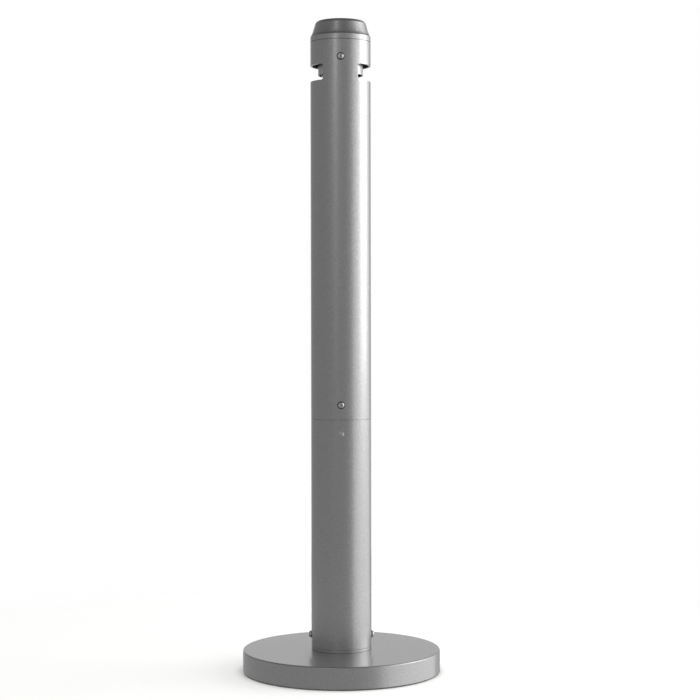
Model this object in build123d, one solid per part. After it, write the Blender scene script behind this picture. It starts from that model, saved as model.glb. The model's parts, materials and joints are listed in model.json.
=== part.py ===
from build123d import *
import math
import os

# Free-standing cigarette-butt receptacle: a two-part tube post on a round weighted base.
#
# Millimetres. The origin is the centre of the footprint on the floor, +Z is up, and the
# front of the post, with its lock screw, faces -Y. Butts go in through the two side slots
# under the head, fall past the baffle down the upper tube and into the lift-out canister.
# The upper tube lifts off the coupling ring once its lock screw is slackened.

# ---------------------------------------------------------------- driving dimensions
# Tubes
TUBE_OD = 101.6
TUBE_WALL = 3.2
LOWER_TUBE_LENGTH = 385.0
UPPER_TUBE_LENGTH = 632.0
TUBE_END_CHAMFER = 0.6

# Base disc
BASE_OD = 333.0
BASE_HEIGHT = 35.8
RIM_GAP = 2.0                # floor to the rim of the drawn cover
COVER_WALL = 1.5
COVER_EDGE_RADIUS = 2.5
PLATE_THICKNESS = 2.0

# Rubber feet under the base
FOOT_HEIGHT = 10.0
FOOT_TOP_OD = 26.0
FOOT_BOTTOM_OD = 22.0
FOOT_INSET = 30.5            # centre of a foot inside the base's edge
FOOT_COUNT = 4
FOOT_COUNTERBORE_OD = 11.0
FOOT_COUNTERBORE_DEPTH = 5.0
FOOT_SCREW_OD = 4.0
FOOT_SCREW_HEAD_OD = 8.0
FOOT_SCREW_HEAD_HEIGHT = 2.6
FOOT_SCREW_GRIP = 9.0        # length of the screws above the plate's underside

# Socket casting that holds the lower tube on the base
GASKET_THICKNESS = 1.0
SHOULDER_HEIGHT = 4.0
SHOULDER_CHAMFER = 0.5
SOCKET_FLOOR = 7.0
SOCKET_WALL = 6.0
SPIGOT_HEIGHT = 50.0
SPIGOT_LEAD_IN = 1.5
BASE_SCREW_HEIGHT = 19.3     # above the foot of the lower tube

# Bolts from under the base into the socket
BOLT_OD = 8.0
BOLT_INSET = 14.45           # centre of a bolt inside the socket's bore
BOLT_COUNT = 4
BOLT_FLATS = 13.0
BOLT_HEAD_HEIGHT = 5.3
BOLT_END_GAP = 0.6           # from a bolt's end to the top of the socket's floor
BOLT_WASHER_OD = 20.0
BOLT_WASHER_THICKNESS = 1.6

# Coupling ring inside the joint of the two tubes
RING_WALL = 6.0
RING_BELOW_JOINT = 50.0
RING_ABOVE_JOINT = 48.0
RING_LEAD_IN = 1.2
RIVET_BELOW_JOINT = 23.9
RIVET_OD = 4.8
RIVET_HEAD_OD = 9.5
RIVET_HEAD_HEIGHT = 1.5
RIVET_COUNT = 3

# Lock nut, welded inside the upper tube, and the groove in the ring that it rides in
LOCK_ABOVE_JOINT = 24.3
NUT_WIDTH = 12.0
NUT_HEIGHT = 14.0
NUT_THICKNESS = 3.6
NUT_WELD_GAP = 0.05
GROOVE_SIDE_CLEARANCE = 0.5
GROOVE_FLOOR_CLEARANCE = 0.35
SCREW_TIP_CLEARANCE = 0.1

# Button-head screws and the washers under them
SCREW_OD = 6.0
SCREW_HEAD_OD = 10.5
SCREW_HEAD_HEIGHT = 3.3
SCREW_HEAD_RIM = 0.35
SCREW_HEAD_FLAT_OD = 5.6
SCREW_SOCKET_FLATS = 4.0
SCREW_SOCKET_DEPTH = 2.1
SCREW_WASHER_OD = 12.6
SCREW_WASHER_THICKNESS = 1.0

# Side slots in the top of the upper tube
SLOT_HEIGHT = 26.8
SLOT_BELOW_TOP = 39.5        # top edge of the slots below the end of the tube
PILLAR_WIDTH = 58.2
SLOT_CORNER_RADIUS = 3.5

# Head collar
SKIRT_ABOVE_SLOT = 3.1       # foot of the skirt above the top of the slots
COLLAR_SKIRT_WALL = 5.0
COLLAR_SIDE_RELIEF = 24.0    # the skirt's sides end this far below the tube's end
COLLAR_BAND = 9.0
COLLAR_TAPER = 2.0
COLLAR_TOP_INSET = 1.1       # inside the tube's outside
COLLAR_WEB = 6.0
COLLAR_WEB_HOLE = 24.0
HEAD_SCREW_ABOVE_SLOT = 10.5

# Head dome
DOME_HEIGHT = 25.6
DOME_FOOT_CHAMFER = 0.7
DOME_FOOT_INSET = 1.3        # these three are inside the tube's outside
DOME_KNEE_INSET = 3.8
DOME_TOP_INSET = 9.4         # where the side would meet the flat top
DOME_KNEE_HEIGHT = 6.0
DOME_CORNER_RADIUS = 8.0
DOME_WALL = 3.5
BOSS_OD = 11.0
DOME_SCREW_OD = 5.0
DOME_SCREW_INSET = 11.1      # centre of a screw inside the baffle's bore
DOME_SCREW_COUNT = 3
DOME_SCREW_BITE = 9.0        # length of thread in a boss
DOME_SCREW_HEAD_OD = 9.5
DOME_SCREW_HEAD_HEIGHT = 3.2
DOME_WASHER_OD = 10.0
DOME_WASHER_THICKNESS = 1.0

# Baffle tube that hangs from the collar between the slots
BAFFLE_SIDE_GAP = 4.85       # baffle to the bore of the collar's skirt
BAFFLE_WALL = 1.5
BAFFLE_FLANGE = 2.0
BAFFLE_BELOW_SLOT_TOP = 15.5

# Lift-out canister and its bail
CAN_SIDE_CLEARANCE = 1.95    # canister to the bore of the coupling ring
CAN_WALL = 0.8
CAN_FLOOR_GAP = 2.0          # canister above the socket's floor
CAN_BOTTOM_RECESS = 3.0
CAN_BOTTOM_SKIRT = 8.0
RIM_THICKNESS = 1.0
RIM_NECK = 10.5
RIM_LIP_HEIGHT = 3.5
RIM_SIDE_CLEARANCE = 0.7     # rim to the bore of the upper tube
RIM_NUT_CLEARANCE = 0.5
EAR_WIDTH = 12.0
EAR_THICKNESS = 1.2
EAR_BELOW_RIM = 9.0
EAR_ABOVE_PIVOT = 4.0
EAR_RIVET_OD = 2.4
EAR_RIVET_HEAD_OD = 4.4
EAR_RIVET_HEAD_HEIGHT = 0.7
EAR_RIVET_SPACING = 6.0
EAR_RIVET_BELOW_RIM = 5.5
WIRE_OD = 2.5
WIRE_RIM_GAP = 0.2
WIRE_END_OVERRUN = 1.7
BAIL_SIDE_CLEARANCE = 1.45   # inside of the bail's wire to the ears
BAIL_BEND_RADIUS = 2.0

# Fits, all radial
SLIDE_FIT = 0.15             # spigot, ring and collar in the tubes, discs in the cover
HOLE_FIT = 0.3               # screws and bolts through clearance holes
THREAD_FIT = 0.02            # plain stand-in threads in their tapped holes
SHEET_FIT = 0.05             # rivets in their holes, pressed sheet parts in each other
PIVOT_FIT = 0.1              # bail wire in its ears
END_GAP = 0.3                # screw and rivet ends short of the wall's inner face
DRILL_ALLOWANCE = 1.0        # depth of a tapped hole past the end of its screw

# ---------------------------------------------------------------- places worked out
TUBE_R = TUBE_OD / 2
BORE_R = TUBE_R - TUBE_WALL
PLUG_R = BORE_R - SLIDE_FIT
BASE_TOP = RIM_GAP + BASE_HEIGHT
COVER_BORE_R = BASE_OD / 2 - COVER_WALL
COVER_INSIDE_TOP = BASE_TOP - COVER_WALL
PLATE_TOP = FOOT_HEIGHT + PLATE_THICKNESS
SOCKET_FOOT = BASE_TOP + GASKET_THICKNESS
TUBE_FOOT = SOCKET_FOOT + SHOULDER_HEIGHT
SOCKET_FLOOR_TOP = SOCKET_FOOT + SOCKET_FLOOR
SOCKET_BORE_R = PLUG_R - SOCKET_WALL
BOLT_CIRCLE = 2 * (SOCKET_BORE_R - BOLT_INSET)
FOOT_CIRCLE = BASE_OD - 2 * FOOT_INSET
JOINT = TUBE_FOOT + LOWER_TUBE_LENGTH
TUBE_TOP = JOINT + UPPER_TUBE_LENGTH
BASE_SCREW_Z = TUBE_FOOT + BASE_SCREW_HEIGHT
RIVET_Z = JOINT - RIVET_BELOW_JOINT
LOCK_Z = JOINT + LOCK_ABOVE_JOINT
SCREW_SEAT_R = TUBE_R + SCREW_WASHER_THICKNESS
RING_BORE_R = PLUG_R - RING_WALL
RING_TOP = JOINT + RING_ABOVE_JOINT
NUT_OUTER_R = BORE_R - NUT_WELD_GAP
NUT_INNER = NUT_OUTER_R - NUT_THICKNESS
GROOVE_FLOOR = NUT_INNER - GROOVE_FLOOR_CLEARANCE
SLOT_TOP = TUBE_TOP - SLOT_BELOW_TOP
HEAD_SCREW_Z = SLOT_TOP + HEAD_SCREW_ABOVE_SLOT
COLLAR_FOOT = SLOT_TOP + SKIRT_ABOVE_SLOT
COLLAR_BORE_R = PLUG_R - COLLAR_SKIRT_WALL
COLLAR_TOP = TUBE_TOP + COLLAR_BAND + COLLAR_TAPER
WEB_UNDERSIDE = COLLAR_TOP - COLLAR_WEB
DOME_TOP = COLLAR_TOP + DOME_HEIGHT
DOME_FOOT_R = TUBE_R - DOME_FOOT_INSET
DOME_KNEE_R = TUBE_R - DOME_KNEE_INSET
DOME_TOP_R = TUBE_R - DOME_TOP_INSET
BAFFLE_R = COLLAR_BORE_R - BAFFLE_SIDE_GAP
BAFFLE_BORE_R = BAFFLE_R - BAFFLE_WALL
BAFFLE_FOOT = SLOT_TOP - BAFFLE_BELOW_SLOT_TOP
DOME_SCREW_CIRCLE = 2 * (BAFFLE_BORE_R - DOME_SCREW_INSET)
CAN_R = RING_BORE_R - CAN_SIDE_CLEARANCE
CAN_FOOT = SOCKET_FLOOR_TOP + CAN_FLOOR_GAP
NECK_R = CAN_R - CAN_WALL - SHEET_FIT
NECK_BORE_R = NECK_R - CAN_WALL
RIM_TOP = RING_TOP + RIM_THICKNESS
RIM_R = BORE_R - RIM_SIDE_CLEARANCE
PIVOT_Z = RIM_TOP + WIRE_OD / 2 + WIRE_RIM_GAP
EAR_OUTER_X = math.sqrt(NECK_BORE_R**2 - (EAR_WIDTH / 2) ** 2) - SHEET_FIT
EAR_INNER_X = EAR_OUTER_X - EAR_THICKNESS
BAIL_RADIUS = EAR_OUTER_X + BAIL_SIDE_CLEARANCE + WIRE_OD / 2

# Angles round the post
FRONT, BACK, RIGHT, LEFT = 270.0, 90.0, 0.0, 180.0
FIRST_FOOT_ANGLE = 45.0

UP_FROM = (Align.CENTER, Align.CENTER, Align.MIN)


# ---------------------------------------------------------------- helpers
def disc(radius, low, high):
    """A solid cylinder on the Z axis between two heights."""
    return Pos(0, 0, low) * Cylinder(radius, high - low, align=UP_FROM)


def ring(outer, inner, low, high):
    """A plain ring on the Z axis between two heights."""
    return disc(outer, low, high) - disc(inner, low, high)


def turned(points):
    """A solid of revolution about Z from a closed outline of (radius, height) points."""
    outline = Polyline(*[(r, 0, z) for r, z in points], close=True)
    return revolve(make_face(outline), Axis.Z)


def on_circle(shape, diameter, count, first_angle):
    """Evenly spaced copies of a shape on a circle round the Z axis."""
    angles = [first_angle + 360 * i / count for i in range(count)]
    return [Rot(0, 0, a) * Pos(diameter / 2, 0, 0) * Rot(0, 0, -a) * shape for a in angles]


def facing_out(radius, angle, height):
    """A place on the post from which +Z points straight out, away from its axis."""
    return Pos(0, 0, height) * Rot(0, 0, angle) * Pos(radius, 0, 0) * Rot(0, 90, 0)


def side_drill(radius, angle, height):
    """A drill through one wall of the post, from its axis outwards."""
    return facing_out(0, angle, height) * Cylinder(radius, TUBE_OD, align=UP_FROM)


def hexagon(flats, low, high):
    """A hexagonal prism on the Z axis between two heights."""
    return Pos(0, 0, low) * extrude(RegularPolygon(flats / 2, 6, major_radius=False), high - low)


def button_head_screw(reach):
    """A button-head screw: bearing face at the origin, head up, shank down."""
    head_r, flat_r, top = SCREW_HEAD_OD / 2, SCREW_HEAD_FLAT_OD / 2, SCREW_HEAD_HEIGHT
    crown = ThreePointArc((head_r, SCREW_HEAD_RIM), (head_r * 0.86, top * 0.66), (flat_r, top))
    shank = [(flat_r, top), (0, top), (0, -reach), (SCREW_OD / 2, -reach), (SCREW_OD / 2, 0)]
    outline = crown + Polyline(*shank, (head_r, 0), (head_r, SCREW_HEAD_RIM))
    screw = revolve(Plane.XZ * make_face(outline), Axis.Z)
    return screw - hexagon(SCREW_SOCKET_FLATS, top - SCREW_SOCKET_DEPTH, top)


def screw_washer():
    """The washer under a button head, with its back at the origin."""
    return ring(SCREW_WASHER_OD / 2, SCREW_OD / 2 + HOLE_FIT, 0, SCREW_WASHER_THICKNESS)


def domed_rivet(shank_r, reach, head_r, head_height):
    """A dome-head rivet: bearing face at the origin, head up, shank down."""
    sphere_r = (head_r**2 + head_height**2) / (2 * head_height)
    head = Pos(0, 0, head_height - sphere_r) * Sphere(sphere_r)
    head &= disc(head_r, 0, head_height)
    return head + disc(shank_r, -reach, 0)


def pan_head_screw(shank_r, low, high, head_r, head_height):
    """A pan-head screw that points up, with its bearing face at the lower height."""
    head = disc(head_r, low - head_height, low)
    head = fillet(head.edges().group_by(Axis.Z)[0], head_height / 2)
    return head + disc(shank_r, low, high)


def bolt_holes(radius, low, high):
    """Cutters for the four bolts that join the base and the socket."""
    return on_circle(disc(radius, low, high), BOLT_CIRCLE, BOLT_COUNT, FIRST_FOOT_ANGLE)


def foot_screw_holes(radius, low, high):
    """Cutters for the screws of the rubber feet."""
    return on_circle(disc(radius, low, high), FOOT_CIRCLE, FOOT_COUNT, FIRST_FOOT_ANGLE)


# ---------------------------------------------------------------- base
def base_cover():
    """Drawn steel cover of the base, open underneath."""
    pan = disc(BASE_OD / 2, RIM_GAP, BASE_TOP)
    pan = fillet(pan.edges().group_by(Axis.Z)[-1], COVER_EDGE_RADIUS)
    hollow = disc(COVER_BORE_R, RIM_GAP, COVER_INSIDE_TOP)
    hollow = fillet(hollow.edges().group_by(Axis.Z)[-1], COVER_EDGE_RADIUS - COVER_WALL)
    return pan - hollow - bolt_holes(BOLT_OD / 2 + HOLE_FIT, COVER_INSIDE_TOP, BASE_TOP)


def base_ballast():
    """Cast ballast disc that fills the cover."""
    block = disc(COVER_BORE_R - SLIDE_FIT, PLATE_TOP, COVER_INSIDE_TOP)
    block = chamfer(block.edges().group_by(Axis.Z)[-1], COVER_EDGE_RADIUS - COVER_WALL)
    block -= bolt_holes(BOLT_OD / 2 + HOLE_FIT, PLATE_TOP, COVER_INSIDE_TOP)
    screw_top = FOOT_HEIGHT + FOOT_SCREW_GRIP + DRILL_ALLOWANCE
    return block - foot_screw_holes(FOOT_SCREW_OD / 2 + THREAD_FIT, PLATE_TOP, screw_top)


def base_plate():
    """Steel plate that closes the underside of the base."""
    plate = disc(COVER_BORE_R - SLIDE_FIT, FOOT_HEIGHT, PLATE_TOP)
    plate -= bolt_holes(BOLT_OD / 2 + HOLE_FIT, FOOT_HEIGHT, PLATE_TOP)
    return plate - foot_screw_holes(FOOT_SCREW_OD / 2 + HOLE_FIT, FOOT_HEIGHT, PLATE_TOP)


def rubber_feet():
    """Tapered rubber feet, each with a counterbore for its screw."""
    foot = Cone(FOOT_BOTTOM_OD / 2, FOOT_TOP_OD / 2, FOOT_HEIGHT, align=UP_FROM)
    foot -= disc(FOOT_COUNTERBORE_OD / 2, 0, FOOT_COUNTERBORE_DEPTH)
    foot -= disc(FOOT_SCREW_OD / 2 + HOLE_FIT, 0, FOOT_HEIGHT)
    return on_circle(foot, FOOT_CIRCLE, FOOT_COUNT, FIRST_FOOT_ANGLE)


def foot_screws():
    """Screws of the rubber feet, with their heads inside the counterbores."""
    end = FOOT_HEIGHT + FOOT_SCREW_GRIP
    head_r = FOOT_SCREW_HEAD_OD / 2
    screw = pan_head_screw(FOOT_SCREW_OD / 2, FOOT_COUNTERBORE_DEPTH, end, head_r, FOOT_SCREW_HEAD_HEIGHT)
    return on_circle(screw, FOOT_CIRCLE, FOOT_COUNT, FIRST_FOOT_ANGLE)


def socket_bolts():
    """Hex bolts from under the base into the socket."""
    bearing = FOOT_HEIGHT - BOLT_WASHER_THICKNESS
    bolt = hexagon(BOLT_FLATS, bearing - BOLT_HEAD_HEIGHT, bearing)
    bolt += disc(BOLT_OD / 2, bearing, SOCKET_FLOOR_TOP - BOLT_END_GAP)
    return on_circle(bolt, BOLT_CIRCLE, BOLT_COUNT, FIRST_FOOT_ANGLE)


def socket_washers():
    """Flat washers under the heads of the socket bolts."""
    low = FOOT_HEIGHT - BOLT_WASHER_THICKNESS
    washer = ring(BOLT_WASHER_OD / 2, BOLT_OD / 2 + HOLE_FIT, low, FOOT_HEIGHT)
    return on_circle(washer, BOLT_CIRCLE, BOLT_COUNT, FIRST_FOOT_ANGLE)


def socket_gasket():
    """Rubber gasket between the base cover and the socket."""
    sheet = disc(TUBE_R - SHOULDER_CHAMFER, BASE_TOP, SOCKET_FOOT)
    return sheet - bolt_holes(BOLT_OD / 2 + HOLE_FIT, BASE_TOP, SOCKET_FOOT)


def pole_socket():
    """Cast socket: a shoulder under the lower tube and a spigot inside it."""
    spigot_top = TUBE_FOOT + SPIGOT_HEIGHT
    spigot = disc(PLUG_R, SOCKET_FOOT, spigot_top)
    spigot = chamfer(spigot.edges().group_by(Axis.Z)[-1], SPIGOT_LEAD_IN)
    shoulder = disc(TUBE_R, SOCKET_FOOT, TUBE_FOOT)
    shoulder = chamfer(shoulder.edges().filter_by(GeomType.CIRCLE), SHOULDER_CHAMFER)
    body = spigot + shoulder - disc(SOCKET_BORE_R, SOCKET_FLOOR_TOP, spigot_top)
    body -= bolt_holes(BOLT_OD / 2 + THREAD_FIT, SOCKET_FOOT, SOCKET_FLOOR_TOP)
    return body - [side_drill(SCREW_OD / 2 + THREAD_FIT, a, BASE_SCREW_Z) for a in (LEFT, RIGHT)]


# ---------------------------------------------------------------- lower tube and coupling
def rivet_angles():
    """Angles of the coupling rivets, the first at the front."""
    return [FRONT + 360 * i / RIVET_COUNT for i in range(RIVET_COUNT)]


def plain_tube(low, high):
    """A length of the post's tube with its outer end edges broken."""
    outside = disc(TUBE_R, low, high)
    outside = chamfer(outside.edges().filter_by(GeomType.CIRCLE), TUBE_END_CHAMFER)
    return outside - disc(BORE_R, low, high)


def lower_tube():
    """Lower tube, screwed to the socket and riveted to the coupling ring."""
    tube = plain_tube(TUBE_FOOT, JOINT)
    tube -= [side_drill(SCREW_OD / 2 + HOLE_FIT, a, BASE_SCREW_Z) for a in (LEFT, RIGHT)]
    return tube - [side_drill(RIVET_OD / 2 + SHEET_FIT, a, RIVET_Z) for a in rivet_angles()]


def base_screws():
    """Screws through the foot of the lower tube into the socket."""
    screw = button_head_screw(SCREW_SEAT_R - SOCKET_BORE_R - END_GAP)
    return [facing_out(SCREW_SEAT_R, a, BASE_SCREW_Z) * screw for a in (LEFT, RIGHT)]


def base_screw_washers():
    """Steel washers under the heads of the base screws."""
    return [facing_out(TUBE_R, a, BASE_SCREW_Z) * screw_washer() for a in (LEFT, RIGHT)]


def coupling_ring():
    """Ring inside the joint of the tubes, with the groove that the lock nut slides down."""
    body = disc(PLUG_R, JOINT - RING_BELOW_JOINT, RING_TOP)
    body = chamfer(body.edges().filter_by(GeomType.CIRCLE), RING_LEAD_IN)
    body -= disc(RING_BORE_R, JOINT - RING_BELOW_JOINT, RING_TOP)
    groove_foot = LOCK_Z - NUT_HEIGHT / 2 - GROOVE_SIDE_CLEARANCE
    groove_width = NUT_WIDTH + 2 * GROOVE_SIDE_CLEARANCE
    groove_align = (Align.CENTER, Align.MAX, Align.MIN)
    groove = Box(groove_width, TUBE_R, RING_TOP - groove_foot, align=groove_align)
    body -= Pos(0, -GROOVE_FLOOR, groove_foot) * groove
    return body - [side_drill(RIVET_OD / 2 + SHEET_FIT, a, RIVET_Z) for a in rivet_angles()]


def coupling_rivets():
    """Dome-head rivets that fix the coupling ring in the lower tube."""
    reach = TUBE_R - RING_BORE_R - END_GAP
    rivet = domed_rivet(RIVET_OD / 2, reach, RIVET_HEAD_OD / 2, RIVET_HEAD_HEIGHT)
    return [facing_out(TUBE_R, a, RIVET_Z) * rivet for a in rivet_angles()]


# ---------------------------------------------------------------- upper tube and its lock
def side_cutters(low, high, corner_radius):
    """Cutters that open both sides of a tube, leaving a pillar at the front and the back."""
    cutter = Box(TUBE_R, TUBE_OD, high - low, align=(Align.MIN, Align.CENTER, Align.MIN))
    cutter = fillet(cutter.edges().filter_by(Axis.Y).group_by(Axis.X)[0], corner_radius)
    cutter = Pos(PILLAR_WIDTH / 2, 0, low) * cutter
    return [cutter, Rot(0, 0, 180) * cutter]


def upper_tube():
    """Upper tube, with the two side slots that butts go in through."""
    tube = plain_tube(JOINT, TUBE_TOP)
    tube -= side_cutters(SLOT_TOP - SLOT_HEIGHT, SLOT_TOP, SLOT_CORNER_RADIUS)
    tube -= side_drill(SCREW_OD / 2 + HOLE_FIT, FRONT, LOCK_Z)
    return tube - [side_drill(SCREW_OD / 2 + HOLE_FIT, a, HEAD_SCREW_Z) for a in (FRONT, BACK)]


def lock_nut():
    """Nut block on the inside of the upper tube's front."""
    block = Box(NUT_WIDTH, TUBE_R, NUT_HEIGHT, align=(Align.CENTER, Align.MAX, Align.CENTER))
    block = Pos(0, -NUT_INNER, LOCK_Z) * block
    block &= disc(NUT_OUTER_R, JOINT, RING_TOP)
    return block - side_drill(SCREW_OD / 2 + THREAD_FIT, FRONT, LOCK_Z)


def lock_washer():
    """Nylon washer under the head of the lock screw."""
    return facing_out(TUBE_R, FRONT, LOCK_Z) * screw_washer()


def lock_screw():
    """Lock screw: its tip clamps on the floor of the coupling ring's groove."""
    screw = button_head_screw(SCREW_SEAT_R - GROOVE_FLOOR - SCREW_TIP_CLEARANCE)
    return facing_out(SCREW_SEAT_R, FRONT, LOCK_Z) * screw


# ---------------------------------------------------------------- head
def dome_screw_holes(radius, low, high):
    """Cutters or posts at the screws that join the dome, collar and baffle."""
    return on_circle(disc(radius, low, high), DOME_SCREW_CIRCLE, DOME_SCREW_COUNT, FRONT)


def head_collar():
    """Collar that plugs into the top of the upper tube and carries the dome."""
    body = turned([
        (COLLAR_WEB_HOLE / 2, WEB_UNDERSIDE),
        (COLLAR_BORE_R, WEB_UNDERSIDE),
        (COLLAR_BORE_R, COLLAR_FOOT),
        (PLUG_R, COLLAR_FOOT),
        (PLUG_R, TUBE_TOP),
        (TUBE_R - TUBE_END_CHAMFER, TUBE_TOP),
        (TUBE_R, TUBE_TOP + TUBE_END_CHAMFER),
        (TUBE_R, TUBE_TOP + COLLAR_BAND),
        (TUBE_R - COLLAR_TOP_INSET, COLLAR_TOP),
        (COLLAR_WEB_HOLE / 2, COLLAR_TOP),
    ])
    relief_top = TUBE_TOP - COLLAR_SIDE_RELIEF
    body -= side_cutters(COLLAR_FOOT - SLOT_CORNER_RADIUS, relief_top, SLOT_CORNER_RADIUS)
    body -= dome_screw_holes(DOME_SCREW_OD / 2 + HOLE_FIT, WEB_UNDERSIDE, COLLAR_TOP)
    return body - [side_drill(SCREW_OD / 2 + THREAD_FIT, a, HEAD_SCREW_Z) for a in (FRONT, BACK)]


def head_dome():
    """Hollow cast dome with three screw bosses inside."""
    knee = COLLAR_TOP + DOME_KNEE_HEIGHT
    outside = turned([
        (0, COLLAR_TOP),
        (DOME_FOOT_R - DOME_FOOT_CHAMFER, COLLAR_TOP),
        (DOME_FOOT_R, COLLAR_TOP + DOME_FOOT_CHAMFER),
        (DOME_KNEE_R, knee),
        (DOME_TOP_R, DOME_TOP),
        (0, DOME_TOP),
    ])
    outside = fillet(outside.edges().group_by(Axis.Z)[-1], DOME_CORNER_RADIUS)
    inside = turned([
        (0, COLLAR_TOP),
        (DOME_KNEE_R - DOME_WALL, COLLAR_TOP),
        (DOME_KNEE_R - DOME_WALL, knee),
        (DOME_TOP_R - DOME_WALL, DOME_TOP - DOME_WALL),
        (0, DOME_TOP - DOME_WALL),
    ])
    inside = fillet(inside.edges().group_by(Axis.Z)[-1], DOME_CORNER_RADIUS - DOME_WALL)
    shell = outside - inside
    shell += dome_screw_holes(BOSS_OD / 2, COLLAR_TOP, DOME_TOP - DOME_WALL)
    depth = DOME_SCREW_BITE + DRILL_ALLOWANCE
    return shell - dome_screw_holes(DOME_SCREW_OD / 2 + THREAD_FIT, COLLAR_TOP, COLLAR_TOP + depth)


def head_screws():
    """Screws through the front and back of the upper tube into the collar."""
    screw = button_head_screw(SCREW_SEAT_R - COLLAR_BORE_R - END_GAP)
    return [facing_out(SCREW_SEAT_R, a, HEAD_SCREW_Z) * screw for a in (FRONT, BACK)]


def head_screw_washers():
    """Nylon washers under the heads of the head screws."""
    return [facing_out(TUBE_R, a, HEAD_SCREW_Z) * screw_washer() for a in (FRONT, BACK)]


def baffle_tube():
    """Open-ended baffle that hangs from the collar by its inward flange."""
    body = disc(BAFFLE_R, BAFFLE_FOOT, WEB_UNDERSIDE)
    body -= disc(BAFFLE_BORE_R, BAFFLE_FOOT, WEB_UNDERSIDE - BAFFLE_FLANGE)
    body -= disc(COLLAR_WEB_HOLE / 2, WEB_UNDERSIDE - BAFFLE_FLANGE, WEB_UNDERSIDE)
    hole_r = DOME_SCREW_OD / 2 + HOLE_FIT
    return body - dome_screw_holes(hole_r, WEB_UNDERSIDE - BAFFLE_FLANGE, WEB_UNDERSIDE)


def dome_screws():
    """Screws up through the baffle and the collar into the dome's bosses."""
    bearing = WEB_UNDERSIDE - BAFFLE_FLANGE - DOME_WASHER_THICKNESS
    end = COLLAR_TOP + DOME_SCREW_BITE
    head_r = DOME_SCREW_HEAD_OD / 2
    screw = pan_head_screw(DOME_SCREW_OD / 2, bearing, end, head_r, DOME_SCREW_HEAD_HEIGHT)
    return on_circle(screw, DOME_SCREW_CIRCLE, DOME_SCREW_COUNT, FRONT)


def dome_washers():
    """Washers under the heads of the dome screws."""
    high = WEB_UNDERSIDE - BAFFLE_FLANGE
    washer = ring(DOME_WASHER_OD / 2, DOME_SCREW_OD / 2 + HOLE_FIT, high - DOME_WASHER_THICKNESS, high)
    return on_circle(washer, DOME_SCREW_CIRCLE, DOME_SCREW_COUNT, FRONT)


# ---------------------------------------------------------------- canister
def ear_rivet_places():
    """Places of the ear rivets, with +Z towards the post's axis."""
    height = RIM_TOP - EAR_RIVET_BELOW_RIM
    sides = [Rot(0, -90, 0), Rot(0, 0, 180) * Rot(0, -90, 0)]
    offsets = (-EAR_RIVET_SPACING / 2, EAR_RIVET_SPACING / 2)
    right, left = [[Pos(0, y, height) * side for y in offsets] for side in sides]
    return right, left


def ear_rivet_drills(radius):
    """Cutters for the ear rivets, out through both sides of the canister."""
    drill = Cylinder(radius, 2 * TUBE_OD)
    return [place * drill for place in ear_rivet_places()[0]]


def canister_body():
    """Rolled steel tube of the canister."""
    tube = ring(CAN_R, CAN_R - CAN_WALL, CAN_FOOT, RING_TOP)
    return tube - ear_rivet_drills(EAR_RIVET_OD / 2 + SHEET_FIT)


def canister_bottom():
    """Pressed bottom of the canister, a shallow cup inside its tube."""
    low = CAN_FOOT + CAN_BOTTOM_RECESS
    cup = disc(NECK_R, low, low + CAN_BOTTOM_SKIRT)
    return cup - disc(NECK_R - CAN_WALL, low + CAN_WALL, low + CAN_BOTTOM_SKIRT)


def canister_rim():
    """Flanged rim that hangs the canister on top of the coupling ring."""
    rim = turned([
        (NECK_BORE_R, RIM_TOP - RIM_NECK),
        (NECK_R, RIM_TOP - RIM_NECK),
        (NECK_R, RING_TOP),
        (RIM_R, RING_TOP),
        (RIM_R, RIM_TOP + RIM_LIP_HEIGHT),
        (RIM_R - RIM_THICKNESS, RIM_TOP + RIM_LIP_HEIGHT),
        (RIM_R - RIM_THICKNESS, RIM_TOP),
        (NECK_BORE_R, RIM_TOP),
    ])
    notch_width = NUT_WIDTH + 2 * (GROOVE_SIDE_CLEARANCE + RIM_NUT_CLEARANCE)
    notch_height = RIM_THICKNESS + RIM_LIP_HEIGHT
    notch = Box(notch_width, TUBE_R, notch_height, align=(Align.CENTER, Align.MAX, Align.MIN))
    rim -= Pos(0, RIM_NUT_CLEARANCE - NUT_INNER, RING_TOP) * notch
    return rim - ear_rivet_drills(EAR_RIVET_OD / 2 + SHEET_FIT)


def canister_ears():
    """Ears that carry the bail, riveted inside the rim's neck."""
    low, high = RIM_TOP - EAR_BELOW_RIM, PIVOT_Z + EAR_ABOVE_PIVOT
    ear = Box(EAR_THICKNESS, EAR_WIDTH, high - low, align=(Align.MAX, Align.CENTER, Align.MIN))
    ear = fillet(ear.edges().filter_by(Axis.X).group_by(Axis.Z)[-1], EAR_WIDTH / 3)
    ear = Pos(EAR_OUTER_X, 0, low) * ear
    ear -= Pos(0, 0, PIVOT_Z) * Rot(0, 90, 0) * Cylinder(WIRE_OD / 2 + PIVOT_FIT, TUBE_OD)
    ear -= ear_rivet_drills(EAR_RIVET_OD / 2 + SHEET_FIT)
    return [ear, Rot(0, 0, 180) * ear]


def ear_rivets():
    """Rivets of the ears, with their heads on the inside and flush outside ends."""
    wall_x = math.sqrt(CAN_R**2 - (EAR_RIVET_SPACING / 2 + EAR_RIVET_OD / 2) ** 2)
    head_r, head_height = EAR_RIVET_HEAD_OD / 2, EAR_RIVET_HEAD_HEIGHT
    rivet = domed_rivet(EAR_RIVET_OD / 2, wall_x - EAR_INNER_X, head_r, head_height)
    seat = Pos(0, 0, -EAR_INNER_X)
    return [place * seat * rivet for side in ear_rivet_places() for place in side]


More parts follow.
